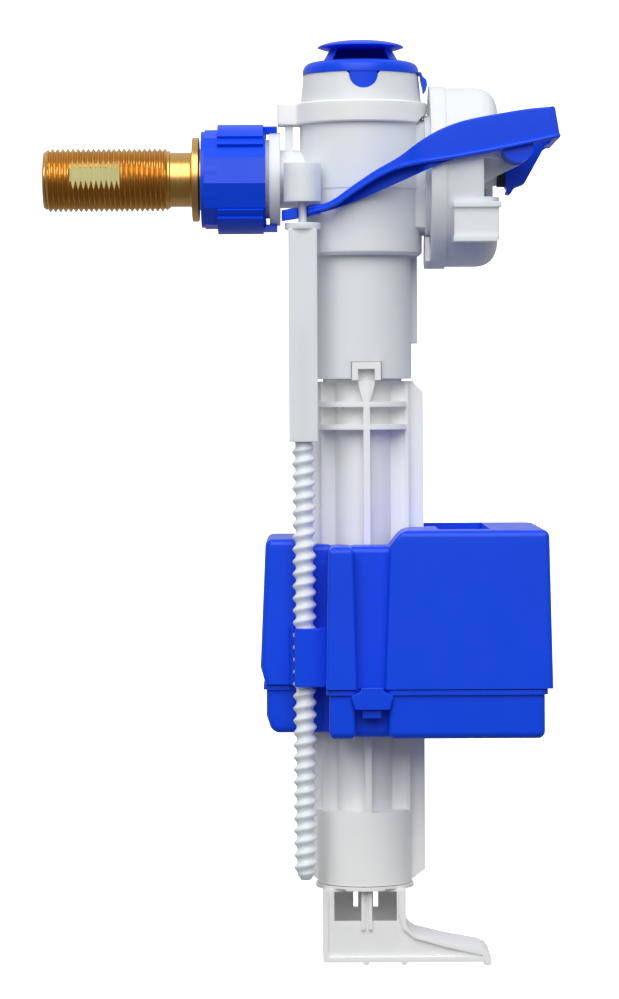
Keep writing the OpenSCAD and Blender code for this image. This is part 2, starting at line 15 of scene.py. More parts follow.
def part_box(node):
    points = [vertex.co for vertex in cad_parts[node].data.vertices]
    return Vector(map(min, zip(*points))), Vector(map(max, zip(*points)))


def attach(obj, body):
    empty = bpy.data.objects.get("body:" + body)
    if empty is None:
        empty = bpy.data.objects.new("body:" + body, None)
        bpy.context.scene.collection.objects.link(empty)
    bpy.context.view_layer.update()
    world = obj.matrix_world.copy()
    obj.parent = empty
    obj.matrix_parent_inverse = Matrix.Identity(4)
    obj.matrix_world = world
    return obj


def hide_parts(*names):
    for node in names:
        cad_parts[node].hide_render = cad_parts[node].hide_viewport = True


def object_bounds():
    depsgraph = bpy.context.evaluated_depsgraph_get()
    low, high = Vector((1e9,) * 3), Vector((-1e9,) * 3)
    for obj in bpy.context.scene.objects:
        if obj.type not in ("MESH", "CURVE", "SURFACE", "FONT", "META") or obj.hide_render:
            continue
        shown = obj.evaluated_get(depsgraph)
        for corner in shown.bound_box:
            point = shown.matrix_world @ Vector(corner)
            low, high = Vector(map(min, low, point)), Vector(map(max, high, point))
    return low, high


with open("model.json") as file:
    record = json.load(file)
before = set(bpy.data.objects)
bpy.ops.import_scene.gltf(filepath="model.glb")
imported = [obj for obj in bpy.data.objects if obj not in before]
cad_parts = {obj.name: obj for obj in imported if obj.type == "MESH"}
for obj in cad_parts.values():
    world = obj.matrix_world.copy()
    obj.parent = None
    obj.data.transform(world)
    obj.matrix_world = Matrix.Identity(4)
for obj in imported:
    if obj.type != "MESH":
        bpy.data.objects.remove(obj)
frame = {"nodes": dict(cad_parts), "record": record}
cad_low, cad_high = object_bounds()
MM = 0.001
NODE_SLOT = {part["node"]: part["material_slot"] for part in frame["record"]["subparts"]}
# The bodies of the nodes that get a new mesh here. The other nodes show their CAD meshes.
NODE_BODY = {
    "inlet_tail": "root", "retaining_ring": "root", "top_cap": "cap", "cover_ring": "cover", "lever": "lever",
    "pull_sleeve": "rod", "threaded_spindle": "spindle", "float_hood": "float", "float_tray": "float",
    "spindle_clip": "float", "support_foot": "foot",
}


# ---------------------------------------------------------------- mesh tools

def mm_box(node):
    """Lowest and highest corners of a CAD node, in millimetres."""
    low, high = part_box(node)
    return Vector(low) / MM, Vector(high) / MM


def arc(centre, radius, start, end, steps):
    """Points on an arc in a plane, from one angle to another, in degrees."""
    turns = [math.radians(start + (end - start) * i / steps) for i in range(steps + 1)]
    return [(centre[0] + radius * math.cos(t), centre[1] + radius * math.sin(t)) for t in turns]


def smooth_line(points, value):
    """Height of a smooth line through (x, height) points, at one x."""
    if value <= points[0][0]:
        return points[0][1]
    if value >= points[-1][0]:
        return points[-1][1]
    last = len(points) - 1
    i = max(k for k in range(last) if points[k][0] <= value)
    (x0, y0), (x1, y1) = points[i], points[i + 1]

    def slope(k):
        before, after = points[max(k - 1, 0)], points[min(k + 1, last)]
        return (after[1] - before[1]) / (after[0] - before[0])

    t = (value - x0) / (x1 - x0)
    span = x1 - x0
    return ((2 * t ** 3 - 3 * t ** 2 + 1) * y0 + (t ** 3 - 2 * t ** 2 + t) * span * slope(i)
            + (3 * t ** 2 - 2 * t ** 3) * y1 + (t ** 3 - t ** 2) * span * slope(i + 1))


def skin(rings, caps=True, loop=True):
    """A surface over rings of equal length, closed at both ends unless caps is off."""
    bm = bmesh.new()
    rows = [[bm.verts.new(p) for p in ring] for ring in rings]
    count = len(rows[0])
    for low, high in zip(rows, rows[1:]):
        for i in range(count if loop else count - 1):
            j = (i + 1) % count
            bm.faces.new((low[i], low[j], high[j], high[i]))
    if caps:
        bm.faces.new(reversed(rows[0]))
        bm.faces.new(rows[-1])
    bmesh.ops.recalc_face_normals(bm, faces=bm.faces)
    return bm


def round_ring(centre, radius, z, around):
    """A level circle of points."""
    turns = [2 * math.pi * k / around for k in range(around)]
    return [Vector((centre[0] + radius * math.cos(t), centre[1] + radius * math.sin(t), z)) for t in turns]


def rounded_ring(low, high, grow, corners, z, steps=5):
    """A rounded rectangle at one height, grown outwards. Corners run from high X and Y, anticlockwise."""
    x0, y0, x1, y1 = low[0] - grow, low[1] - grow, high[0] + grow, high[1] + grow
    points = []
    places = ((x1, y1, -1, -1), (x0, y1, 1, -1), (x0, y0, 1, 1), (x1, y0, -1, 1))
    for i, (x, y, side_x, side_y) in enumerate(places):
        r = max(corners[i] + min(grow, 0), 0.15)
        points += arc((x + side_x * r, y + side_y * r), r, 90 * i, 90 * i + 90, steps)
    return [Vector((x, y, z)) for x, y in points]


def quarter(radius, steps):
    """How far a rounded edge has come in, from its start (height 0) to its end."""
    turns = [math.radians(90 * i / steps) for i in range(steps + 1)]
    return [(radius * math.sin(t), radius * (1 - math.cos(t))) for t in turns]


def moulded_block(low, high, draft, corners, top_round, bottom_round=0, steps=5):
    """A block with drafted sides, round upright corners and round top and bottom edges."""
    if not isinstance(corners, tuple):
        corners = (corners,) * 4
    tall = high[2] - low[2]
    levels = [(low[2] + bottom_round - up, -inward) for up, inward in reversed(quarter(bottom_round, steps))]
    levels += [(high[2] - top_round + up, -inward) for up, inward in quarter(top_round, steps)]
    return skin([rounded_ring(low, high, grow + draft * (high[2] - z) / tall, corners, z, steps)
                 for z, grow in levels])


def prism(outline, y0, y1, edge):
    """A plate with an outline in X and Z between two Y values, with softened edges."""
    bm = skin([[Vector((x, y, z)) for x, z in outline] for y in (y0, y1)])
    soften(bm, edge)
    return bm


def soften(bm, width, angle=30):
    """Rounds the edges that are sharper than an angle."""
    sharp = [e for e in bm.edges if len(e.link_faces) == 2 and e.calc_face_angle(0) > math.radians(angle)]
    bmesh.ops.bevel(bm, geom=sharp, offset=width, segments=2, profile=0.5, affect="EDGES", clamp_overlap=True)


def to_mesh(name, parts):
    """One mesh in metres from shapes in millimetres."""
    mesh = bpy.data.meshes.new(name)
    whole = bmesh.new()
    for bm in parts:
        scratch = bpy.data.meshes.new("scratch")
        bmesh.ops.remove_doubles(bm, verts=bm.verts, dist=1e-4)
        bm.to_mesh(scratch)
        whole.from_mesh(scratch)
        bm.free()
        bpy.data.meshes.remove(scratch)
    bmesh.ops.scale(whole, vec=(MM, MM, MM), verts=whole.verts)
    whole.to_mesh(mesh)
    whole.free()
    return mesh


def shade(mesh, angle):
    """Smooth shading that keeps the edges sharper than an angle."""
    mesh.polygons.foreach_set("use_smooth", [True] * len(mesh.polygons))
    mesh.set_sharp_from_angle(angle=math.radians(angle))


def stand_in(node, mesh, angle=32):
    """Shows a mesh in place of a CAD node, on the same body and with the same material slot."""
    obj = bpy.data.objects.new(f"{node}_form", mesh)
    bpy.context.scene.collection.objects.link(obj)
    shade(mesh, angle)
    obj.modifiers.new("normals", "WEIGHTED_NORMAL").keep_sharp = True
    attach(obj, NODE_BODY[node])
    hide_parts(node)
    obj.data.materials.append(MATERIALS[NODE_SLOT[node]])
    return obj


def softened(node, width, open_ring=False):
    """A copy of a CAD node with its edges rounded, as a moulding has them."""
    mesh = bpy.data.meshes.new(f"{node}_form")
    bm = bmesh.new()
    bm.from_mesh(frame["nodes"][node].data)
    bmesh.ops.remove_doubles(bm, verts=bm.verts, dist=2e-6)
    bmesh.ops.dissolve_limit(bm, angle_limit=math.radians(0.8), verts=bm.verts, edges=bm.edges)
    if open_ring:
        # Rounding a face that runs all the way around a hole would close the hole.
        bmesh.ops.triangulate(bm, faces=[face for face in bm.faces if len(face.verts) > 20])
    bm.to_mesh(mesh)
    bm.free()
    mesh.materials.clear()
    obj = stand_in(node, mesh)
    bevel = obj.modifiers.new("edges", "BEVEL")
    bevel.width = width * MM
    bevel.segments = 2
    bevel.limit_method = "ANGLE"
    bevel.angle_limit = math.radians(28)
    bevel.use_clamp_overlap = True
    bevel.miter_outer = "MITER_ARC"
    obj.modifiers.move(1, 0)
    return obj


def combine(first, others, operation):
    """Boolean of one mesh with others, all in metres."""
    base = bpy.data.objects.new("base", first)
    bpy.context.scene.collection.objects.link(base)
    tools = []
    for i, mesh in enumerate(others):
        tool = bpy.data.objects.new(f"tool_{i}", mesh)
        bpy.context.scene.collection.objects.link(tool)
        step = base.modifiers.new(f"step_{i}", "BOOLEAN")
        step.operation = operation
        step.solver = "EXACT"
        step.object = tool
        tools.append(tool)
    view = bpy.context.evaluated_depsgraph_get()
    result = bpy.data.meshes.new_from_object(base.evaluated_get(view))
    for obj in [base] + tools:
        bpy.data.objects.remove(obj)
    return result


# ---------------------------------------------------------------- materials

def nodes_of(mat):
    """A material's nodes and the links between them."""
    return mat.node_tree.nodes, mat.node_tree.links


def plastic(name, colour, rough, shift, grain_scale, grain_depth, mould_depth=0.0, **sockets):
    """Moulded plastic: a slow drift of tone, a fine spark-eroded grain and a little unevenness of gloss.

    The depths are in millimetres. The sockets are more inputs of the shader, with _ for a space.
    """
    mat = bpy.data.materials.new(name)
    mat.use_nodes = True
    nodes, links = nodes_of(mat)
    shader = nodes["Principled BSDF"]
    for key, value in sockets.items():
        shader.inputs[key.replace("_", " ")].default_value = value
    place = nodes.new("ShaderNodeTexCoord")
    drift = nodes.new("ShaderNodeTexNoise")
    drift.inputs["Scale"].default_value = 38
    drift.inputs["Detail"].default_value = 3
    tone = nodes.new("ShaderNodeMixRGB")
    tone.inputs["Color1"].default_value = (*[c * (1 - shift) for c in colour], 1)
    tone.inputs["Color2"].default_value = (*[min(c * (1 + shift), 1) for c in colour], 1)
    links.new(place.outputs["Object"], drift.inputs["Vector"])
    links.new(drift.outputs["Fac"], tone.inputs["Fac"])
    links.new(tone.outputs["Color"], shader.inputs["Base Color"])
    gloss = nodes.new("ShaderNodeMapRange")
    gloss.inputs["To Min"].default_value = rough - 0.05
    gloss.inputs["To Max"].default_value = rough + 0.07
    smear = nodes.new("ShaderNodeTexNoise")
    smear.inputs["Scale"].default_value = 120
    smear.inputs["Detail"].default_value = 4
    links.new(place.outputs["Object"], smear.inputs["Vector"])
    links.new(smear.outputs["Fac"], gloss.inputs["Value"])
    links.new(gloss.outputs["Result"], shader.inputs["Roughness"])
    grain = nodes.new("ShaderNodeTexNoise")
    grain.inputs["Scale"].default_value = grain_scale
    grain.inputs["Detail"].default_value = 2
    links.new(place.outputs["Object"], grain.inputs["Vector"])
    bump = nodes.new("ShaderNodeBump")
    bump.inputs["Distance"].default_value = grain_depth * MM
    bump.inputs["Strength"].default_value = 0.5
    links.new(grain.outputs["Fac"], bump.inputs["Height"])
    if mould_depth:
        sink = nodes.new("ShaderNodeBump")
        sink.inputs["Distance"].default_value = mould_depth * MM
        sink.inputs["Strength"].default_value = 0.6
        links.new(drift.outputs["Fac"], sink.inputs["Height"])
        links.new(sink.outputs["Normal"], bump.inputs["Normal"])
    links.new(bump.outputs["Normal"], shader.inputs["Normal"])
    return mat


def turned_brass(name, colour, polished, worn):
    """Brass with the fine marks of the tool and a slight drift of tarnish, between two roughnesses."""
    mat = bpy.data.materials.new(name)
    mat.use_nodes = True
    nodes, links = nodes_of(mat)
    shader = nodes["Principled BSDF"]
    shader.inputs["Metallic"].default_value = 1.0
    place = nodes.new("ShaderNodeTexCoord")
    stretch = nodes.new("ShaderNodeMapping")
    stretch.inputs["Scale"].default_value = (5200, 60, 60)
    marks = nodes.new("ShaderNodeTexNoise")
    marks.inputs["Scale"].default_value = 1
    marks.inputs["Detail"].default_value = 2
    links.new(place.outputs["Object"], stretch.inputs["Vector"])
    links.new(stretch.outputs["Vector"], marks.inputs["Vector"])
    tarnish = nodes.new("ShaderNodeTexNoise")
    tarnish.inputs["Scale"].default_value = 160
    tarnish.inputs["Detail"].default_value = 5
    links.new(place.outputs["Object"], tarnish.inputs["Vector"])
    tone = nodes.new("ShaderNodeMixRGB")
    tone.inputs["Color1"].default_value = (*[c * 0.86 for c in colour], 1)
    tone.inputs["Color2"].default_value = (*[min(c * 1.08, 1) for c in colour], 1)
    links.new(tarnish.outputs["Fac"], tone.inputs["Fac"])
    links.new(tone.outputs["Color"], shader.inputs["Base Color"])
    gloss = nodes.new("ShaderNodeMapRange")
    gloss.inputs["To Min"].default_value = polished
    gloss.inputs["To Max"].default_value = worn
    links.new(marks.outputs["Fac"], gloss.inputs["Value"])
    links.new(gloss.outputs["Result"], shader.inputs["Roughness"])
    bump = nodes.new("ShaderNodeBump")
    bump.inputs["Distance"].default_value = 0.012 * MM
    bump.inputs["Strength"].default_value = 0.35
    links.new(marks.outputs["Fac"], bump.inputs["Height"])
    links.new(bump.outputs["Normal"], shader.inputs["Normal"])
    return mat


BLUE = (0.001, 0.064, 0.82)
PALE = (0.80, 0.84, 0.87)
WHITE = (0.93, 0.935, 0.93)
BRASS = (0.74, 0.44, 0.13)
MILLED_BRASS = (0.45, 0.42, 0.20)
BLACK = (0.018, 0.018, 0.020)
MATERIALS = {
    "blue_plastic": plastic("blue_plastic", BLUE, rough=0.34, shift=0.07, grain_scale=5200, grain_depth=0.010,
                            mould_depth=0.05, Specular_IOR_Level=0.28),
    "pale_plastic": plastic("pale_plastic", PALE, rough=0.36, shift=0.02, grain_scale=4200, grain_depth=0.008,
                            mould_depth=0.03, Subsurface_Weight=0.6, Subsurface_Radius=(0.85, 0.93, 1.0),
                            Subsurface_Scale=0.003),
    "white_plastic": plastic("white_plastic", WHITE, rough=0.32, shift=0.015, grain_scale=4600,
                             grain_depth=0.008, mould_depth=0.04, Subsurface_Weight=0.3,
                             Subsurface_Radius=(1.0, 0.97, 0.93), Subsurface_Scale=0.003),
    "brass": turned_brass("brass", BRASS, polished=0.22, worn=0.40),
    "rubber": plastic("rubber", BLACK, rough=0.6, shift=0.2, grain_scale=3000, grain_depth=0.02),
}
for part in frame["record"]["subparts"]:
    obj = frame["nodes"][part["node"]]
    obj.data.materials.clear()
    obj.data.materials.append(MATERIALS[part["material_slot"]])


# ---------------------------------------------------------------- brass inlet tail

def thread_height(phase):
    """Height of a 55 degree pipe thread over one turn, 0 at the root and 1 at the crest."""
    ramp = 1 - abs(2 * phase - 1)
    return min(max((ramp - 0.10) / 0.80, 0), 1)


def inlet_tail():
    """The turned tail with its helical thread, two milled flats, neck, flange and hub."""
    pitch, root, crest = 1.337, 7.474, 8.33
    start, end = -38.9, -5.9
    lead_in, run_out, lead_r = 1.6, 1.2, 7.25
    flat_from, flat_to, flat_r, flat_tilt = -31.8, -18.7, 7.35, math.radians(-8)
    around, per_turn = 120, 10
    turns = [2 * math.pi * k / around for k in range(around)]

    def turned(profile):
        return [[Vector((x, r * math.cos(a), r * math.sin(a))) for a in turns] for r, x in profile]

    length = end - start
    rows = int(length / pitch * per_turn)
    rings = turned([(5.0, 9.2), (5.0, -38.3), (5.5, start), (6.9, start)])
    for i in range(rows + 1):
        x = start + length * i / rows
        fade_in = min((x - start) / lead_in, 1)
        fade_out = min((end - x) / run_out, 1)
        ring = []
        for a in turns:
            phase = ((x - start) / pitch - a / (2 * math.pi)) % 1
            r = root + (crest - root) * thread_height(phase) * fade_out
            r = min(r, lead_r + (crest - lead_r) * fade_in)
            y, z = r * math.cos(a), r * math.sin(a)
            if flat_from < x < flat_to:
                out = y * math.cos(flat_tilt) + z * math.sin(flat_tilt)
                if abs(out) > flat_r:
                    cut = abs(out) - flat_r
                    y -= math.copysign(cut, out) * math.cos(flat_tilt)
                    z -= math.copysign(cut, out) * math.sin(flat_tilt)
            ring.append(Vector((x, y, z)))
        rings.append(ring)
    neck = [(7.1, -5.6), (7.1, -0.5), (7.5, -0.12), (8.4, 0)]
    flange = [(10.75, 0), (10.95, 0.1), (11.0, 0.3), (11.0, 1.5), (10.95, 1.7), (10.75, 1.8)]
    hub = [(8.3, 1.8), (8.0, 2.0), (8.0, 6.95), (6.9, 7.0), (6.9, 8.2), (8.0, 8.25), (8.0, 9.0), (7.8, 9.2)]
    rings += turned(neck + flange + hub)
    bm = skin(rings + [rings[0]], caps=False)
    across = Vector((0, math.cos(flat_tilt), math.sin(flat_tilt)))
    for face in bm.faces:
        middle = face.calc_center_median()
        on_flat = abs(abs(middle.dot(across)) - flat_r) < 0.02 and flat_from < middle.x < flat_to
        face.material_index = 1 if on_flat else 0
    return to_mesh("inlet_tail_form", [bm])


tail = stand_in("inlet_tail", inlet_tail(), 24)
tail.data.materials.append(turned_brass("milled_brass", MILLED_BRASS, polished=0.55, worn=0.7))


# ---------------------------------------------------------------- threaded spindle

def threaded_spindle():
    """The spindle with its coarse rounded thread, pointed tip and plain upper end."""
    low, high = mm_box("threaded_spindle")
    x, y = (low.x + high.x) / 2, (low.y + high.y) / 2
    pitch, root, crest = 3.15, 2.2, 3.05
    thread_top = -69.0
    tip = low.z
    around, per_turn = 48, 12
    rings = [[Vector((x, y, tip))] * around]
    rows = int((thread_top - tip) / pitch * per_turn)
    for i in range(rows + 1):
        z = tip + (thread_top - tip) * i / rows
        cone = min(1.3 + (z - tip) * 0.65, crest)
        ring = []
        for k in range(around):
            a = 2 * math.pi * k / around
            phase = ((z - tip) / pitch - a / (2 * math.pi)) % 1
            wave = 0.5 - 0.5 * math.cos(2 * math.pi * phase)
            ease = min((thread_top - z) / 2.0, 1)
            r = min(root + (crest - root) * wave ** 1.4 * ease, cone)
            ring.append(Vector((x + r * math.cos(a), y + r * math.sin(a), z)))
        rings.append(ring)
    for r, z in ((2.35, thread_top + 0.35), (2.35, -46.3), (2.1, -46)):
        rings.append(round_ring((x, y), r, z, around))
    return to_mesh("threaded_spindle_form", [skin(rings)])


stand_in("threaded_spindle", threaded_spindle(), 60)


# ---------------------------------------------------------------- float

FLOAT_SPLIT = -131.5
FLOAT_TOP = -91.2
FLOAT_LOW = -144.3
HEAD_X = 44.2
ROD = (28.8, -15.5)
GUIDE_R = 12.6
FIN_REACH = 16.45
WALL = 1.6
LEFT, MIDDLE, PILASTER, CHANNEL, RIGHT = range(5)


def hood_blocks(inset):
    """The hood's five joined blocks, shrunk by the wall for the hollow inside."""
    low = FLOAT_SPLIT - (0.1 if inset else 0)
    front_top = FLOAT_TOP - 4.1
    blocks = [((17.9, -10), (30, 33), FLOAT_TOP - 2.7, (0.6, 2.5, 1.8, 0.6)),
              ((27, -10), (60, 33), front_top, (0.8,) * 4),
              ((35, -29), (41.4, 4), front_top, (0.9,) * 4), ((40, -24.5), (54, 4), front_top, (0.8,) * 4),
              ((50.7, -28.6), (91.2, 33), FLOAT_TOP, (4.5, 2, 1, 1.2))]
    meshes = []
    for i, (a, b, top, corners) in enumerate(blocks):
        # The pilaster and channel run into the block behind them, so that side isn't moved.
        back = b[1] if i in (PILASTER, CHANNEL) else b[1] - inset
        bm = moulded_block((a[0] + inset, a[1] + inset, low), (b[0] - inset, back, top - inset), 0.8,
                           tuple(max(r - inset, 0.3) for r in corners), 0.7 if inset else 1.7)
        if i == RIGHT:
            slope_shoulder(bm, a[0] + inset, top - inset)
        if i == LEFT:
            tuck_corner(bm, a[0] + inset - 0.9, low, 0.9)
        meshes.append(to_mesh(f"hood_{i}", [bm]))
    return combine(meshes[0], meshes[1:], "UNION")


def slope_shoulder(bm, side, top):
    """Gives the tall block more draft on its left, and slopes its top left corner."""
    reach, lean = 4.1, 0.72
    bmesh.ops.bisect_plane(bm, geom=bm.verts[:] + bm.edges[:] + bm.faces[:], plane_co=(0, 0, top - reach),
                           plane_no=(0, 0, 1))
    for vert in bm.verts:
        if vert.co.x < side + 4:
            vert.co.x -= 0.8 * (top - vert.co.z) / (top - FLOAT_SPLIT)
            vert.co.x += lean * max(vert.co.z - top + reach, 0)


def tuck_corner(bm, side, low, lean=0.0):
    """Leans the left side out as it goes down, and turns its lowest few millimetres inwards."""
    reach, turn_in = 4.5, 0.32
    bmesh.ops.bisect_plane(bm, geom=bm.verts[:] + bm.edges[:] + bm.faces[:], plane_co=(0, 0, low + reach),
                           plane_no=(0, 0, 1))
    for vert in bm.verts:
        if vert.co.x < side + 4:
            vert.co.x += turn_in * max(low + reach - vert.co.z, 0) + lean * (vert.co.z - low) / 40


def guide_space(grow, low, high):
    """The way through the float for the column and its two fins."""
    round_way = skin([round_ring((HEAD_X, 0), GUIDE_R + grow, z, 72) for z in (low, high)])
    half_x, half_y = FIN_REACH + grow, 1.4 + grow
    fin_way = skin([rounded_ring((HEAD_X - half_x, -half_y), (HEAD_X + half_x, half_y), 0, (0.3,) * 4, z)
                    for z in (low, high)])
    return combine(to_mesh("round_way", [round_way]), [to_mesh("fin_way", [fin_way])], "UNION")


def top_pocket(grow, low, high):
    """The shallow pocket in the top of the tall block."""
    right, floor_z, corner = 76.5 + grow, low - grow, 1.2 + grow
    front = moulded_block((63.2 - grow, -20 - grow, floor_z), (right, 8, high), 0, corner, 0.1)
    back = moulded_block((59.5 - grow, 4 - grow, floor_z), (right, 29 + grow, high), 0, corner, 0.1)
    return combine(to_mesh("pocket_front", [front]), [to_mesh("pocket_back", [back])], "UNION")


def float_hood():
    """The upper shell: hollow blocks, the tube that the column slides in, the pocket and the clasp."""
    shell = combine(hood_blocks(0), [hood_blocks(WALL)], "DIFFERENCE")
    tube = combine(guide_space(WALL, FLOAT_SPLIT, FLOAT_TOP), [hood_blocks(0.2)], "INTERSECT")
    floor_z = -96
    shell = combine(shell, [tube, top_pocket(WALL, floor_z, FLOAT_TOP - 0.8)], "UNION")
    above = FLOAT_TOP + 2
    cuts = [guide_space(0, FLOAT_SPLIT - 2, above), top_pocket(0, floor_z, above)]
    shell = combine(shell, cuts, "DIFFERENCE")
    middle, drop = 45.95, FLOAT_SPLIT
    tab = prism([(middle - 2.9, drop + 0.5), (middle - 2.9, drop - 0.4), (middle - 5.4, drop - 1.6),
                 (middle - 4.4, drop - 5.1), (middle + 4.4, drop - 5.1), (middle + 5.4, drop - 1.6),
                 (middle + 2.9, drop - 0.4), (middle + 2.9, drop + 0.5)], -30, -28.9, 0.25)
    return combine(shell, [to_mesh("clasp", [tab])], "UNION")


def tray_blocks(grow, low, high, bottom_round):
    """The tray's four joined blocks between two heights, grown by the lip or shrunk by the wall."""
    blocks = [((18.8, -9), (60, 32.1), 1.8), ((35, -28.2), (41.7, 4), 1.1), ((40, -23.6), (54, 4), 0.8),
              ((50.1, -28.2), (89.9, 32.2), 1.2)]
    # As in the hood, the pilaster and channel run into the block behind them.
    front_blocks = (1, 2)
    meshes = []
    for i, (a, b, corner) in enumerate(blocks):
        back = b[1] if i in front_blocks else b[1] + grow
        bm = moulded_block((a[0] - grow, a[1] - grow, low), (b[0] + grow, back, high), 0,
                           max(corner + grow, 0.4), 0.12, bottom_round)
        if i == LEFT:
            tuck_corner(bm, a[0] - grow, FLOAT_LOW)
        meshes.append(to_mesh(f"tray_{i}", [bm]))
    return combine(meshes[0], meshes[1:], "UNION")


def float_tray():
    """The lower shell with its lip, the tube around the column and the clasp's catch."""
    lip = 1.5
    body = combine(tray_blocks(0, FLOAT_LOW, FLOAT_SPLIT - lip / 2, 1.9),
                   [tray_blocks(0.8, FLOAT_SPLIT - lip, FLOAT_SPLIT - 0.25, 0)], "UNION")
    body = combine(body, [tray_blocks(-WALL, FLOAT_LOW + WALL, FLOAT_SPLIT + 1, 0)], "DIFFERENCE")
    tube = guide_space(WALL, FLOAT_LOW + 0.4, FLOAT_SPLIT - 0.25)
    body = combine(body, [tube], "UNION")
    body = combine(body, [guide_space(0, FLOAT_LOW - 2, FLOAT_SPLIT + 2)], "DIFFERENCE")
    top, tip = FLOAT_SPLIT - 2, FLOAT_SPLIT - 7.4
    catch = prism([(43.2, top), (43.4, tip), (48.2, tip), (48.4, top)], -28.3, -23, 0.25)
    return combine(body, [to_mesh("catch", [catch])], "UNION")


def spindle_clip():
    """A sprung jaw that the float rod snaps into from the left."""
    low, high = FLOAT_SPLIT, -116.5
    bore, front, back = 3.25, -20.3, -10.2
    open_front = math.degrees(math.acos(-2.5 / bore))
    open_back = math.degrees(math.acos(-2.9 / bore))
    inside = arc(ROD, bore, 360 - open_front, 360 + open_back, 28)
    outline = inside + [(24.9, -12.4), (24.7, -11.6), (24.7, back), (35.2, back), (35.2, front + 0.2),
                        (31.5, front - 0.15), (28.5, front), (26.6, front + 0.5), (26.1, front + 1.1)]
    bm = skin([[Vector((x, y, z)) for x, y in outline] for z in (low, high)])
    soften(bm, 0.25, 40)
    return to_mesh("spindle_clip_form", [bm])


stand_in("float_hood", float_hood())
stand_in("float_tray", float_tray())
stand_in("spindle_clip", spindle_clip())


# ---------------------------------------------------------------- lever

LEVER_FRONT = -26.4
PIVOT = (83.9, 6.6)
LEVER_TOP = [(30.2, -7.7), (35.4, -7.0), (42.3, -2.5), (47.7, 1.0), (53.2, 4.0), (58.8, 8.0), (64.1, 11.0),
             (69.8, 13.1), (78.2, 14.8), (86.3, 16.1), (93.2, 16.7)]
LEVER_BEAD = [(30.2, -10.1), (36.7, -8.3), (42.3, -4.8), (47.7, -1.5), (53.2, 0.9), (58.8, 2.1), (65.4, 3.1),
              (72.6, 4.3), (83.5, 6.4), (94.2, 8.7)]
LEVER_WEB = [(30.2, -10.3), (35.6, -9.1), (44, -6.2), (53.2, -2.3), (63.1, 1.8), (69.8, 4.0), (83.5, 6.5),
             (94.2, 8.8)]


def lever_wall():
    """The long front wall with its bead. Along the arm a second wall behind it makes an open channel."""
    start, end, bend, swing = 30.2, 93.0, 62, math.tan(math.radians(16))
    thin, deep, channel_wall = 1.8, 4.2, 1.0
    stations = 96
    rings = []
    for i in range(stations + 1):
        x = start + (end - start) * i / stations
        top, bead = smooth_line(LEVER_TOP, x), smooth_line(LEVER_BEAD, x)
        web = min(smooth_line(LEVER_WEB, x), bead - 0.05)
        # The arm swings in from the bend to the rod, with a soft change of direction.
        reach = max(bend - x, 0)
        front = LEVER_FRONT + swing * reach * min(reach / 6, 1) ** 0.5
        r = min(0.45, (top - bead) * 0.2)
        roll = min(1.0, (top - bead) * 0.4)
        arm = max(min((x - 34) / 4, (60.4 - x) / 2.4, 1), 0)
        back = thin + (deep - thin) * arm
        inner = 0.95 + 0.35 * arm
        ceiling = bead + max(top - bead - 1.1, 0) * arm
        rear = back - channel_wall
        profile = [(back - r, top), (r, top), (0.12, top - r * 0.5), (0, top - r), (0, bead + 1.5 * roll),
                   (-0.3, bead + 1.2 * roll), (-0.65, bead + 0.9 * roll), (-0.75, bead + 0.5 * roll),
                   (-0.6, bead + 0.15 * roll), (-0.2, bead), (0.5, bead), (inner - 0.1, bead + 0.1),
                   (inner, ceiling + 0.15), (rear + 0.2, ceiling + 0.15), (rear + 0.2, web + 0.15),
                   (rear + 0.35, web), (back - 0.15, web), (back, web + 0.15), (back, top - r)]
        rings.append([Vector((x, front + u, z)) for u, z in profile])
    return skin(rings)


def lever_trunnion(side, outer):
    """The round boss and pin that the lever swings on, seen from the front or the back."""
    boss = [(3.6, 10.8), (3.9, 11), (4.0, 11.3), (4.0, outer)]
    pin = [(1.8, 8.2), (2.0, 8.4), (2.0, 11)]
    turn = Matrix.Rotation(math.radians(90 if side < 0 else -90), 4, "X")
    shapes = [skin([round_ring((0, 0), r, h, 48) for r, h in profile]) for profile in (boss, pin)]
    for bm in shapes:
        bmesh.ops.transform(bm, matrix=Matrix.Translation((PIVOT[0], 0, PIVOT[1])) @ turn, verts=bm.verts)
    return shapes


def lever():
    """The lever: front wall, right-hand plates, trunnions, striker and the hook on the float rod."""
    back = 12.7
    end_plate = prism([(91.8, 16.55), (92.8, 16.75), (93.35, 16.35), (94, 12.4), (94.6, 8.9), (94.4, 8.6),
                       (93, 8.5), (92, 13.2)], LEVER_FRONT - 0.03, back, 0.3)
    bead_end = prism([(92.8, 8.55), (94.65, 8.85), (94.65, 9.7), (92.8, 9.5)], LEVER_FRONT - 0.7, -24, 0.2)
    rear_plate = prism([(PIVOT[0], PIVOT[1] + 4), (92.4, 13.5), (93.4, 8.6)]
                       + arc(PIVOT, 4, -70, -270, 14)[:-1], 10.9, back, 0.25)
    striker = prism([(92.4, 12), (93.4, 8.7), (92.2, 8.2), (86.7, -1.7), (84.2, -2.6), (83, -4.5),
                     (81.8, -4.2), (82.3, -2.9), (81.75, -2.6), (81.75, 3), (83.4, 3.4), (90.5, 11.5)],
                    -4, 4, 0.3)
    hook = [(23.4, -17.4), (24.2, -18.2), (27.3, -18.2), (27.5, -18), (27.5, -16.9), (26, -16.5),
            (26, -14.1), (30.5, -14.1), (30.5, -17.3), (33.5, -18.2), (33.5, -15.4), (30.8, -12.3),
            (25.2, -12.3), (23.4, -13.6)]
    tilt = math.tan(math.radians(10))
    fork = skin([[Vector((x, y, z + (x - ROD[0]) * tilt)) for x, y in hook] for z in (-10.75, -8.05)])
    soften(fork, 0.45)
    parts = [lever_wall(), end_plate, bead_end, rear_plate, striker, fork]
    parts += lever_trunnion(-1, -LEVER_FRONT - 1) + lever_trunnion(1, back - 0.6)
    return to_mesh("lever_form", parts)


stand_in("lever", lever(), 38)


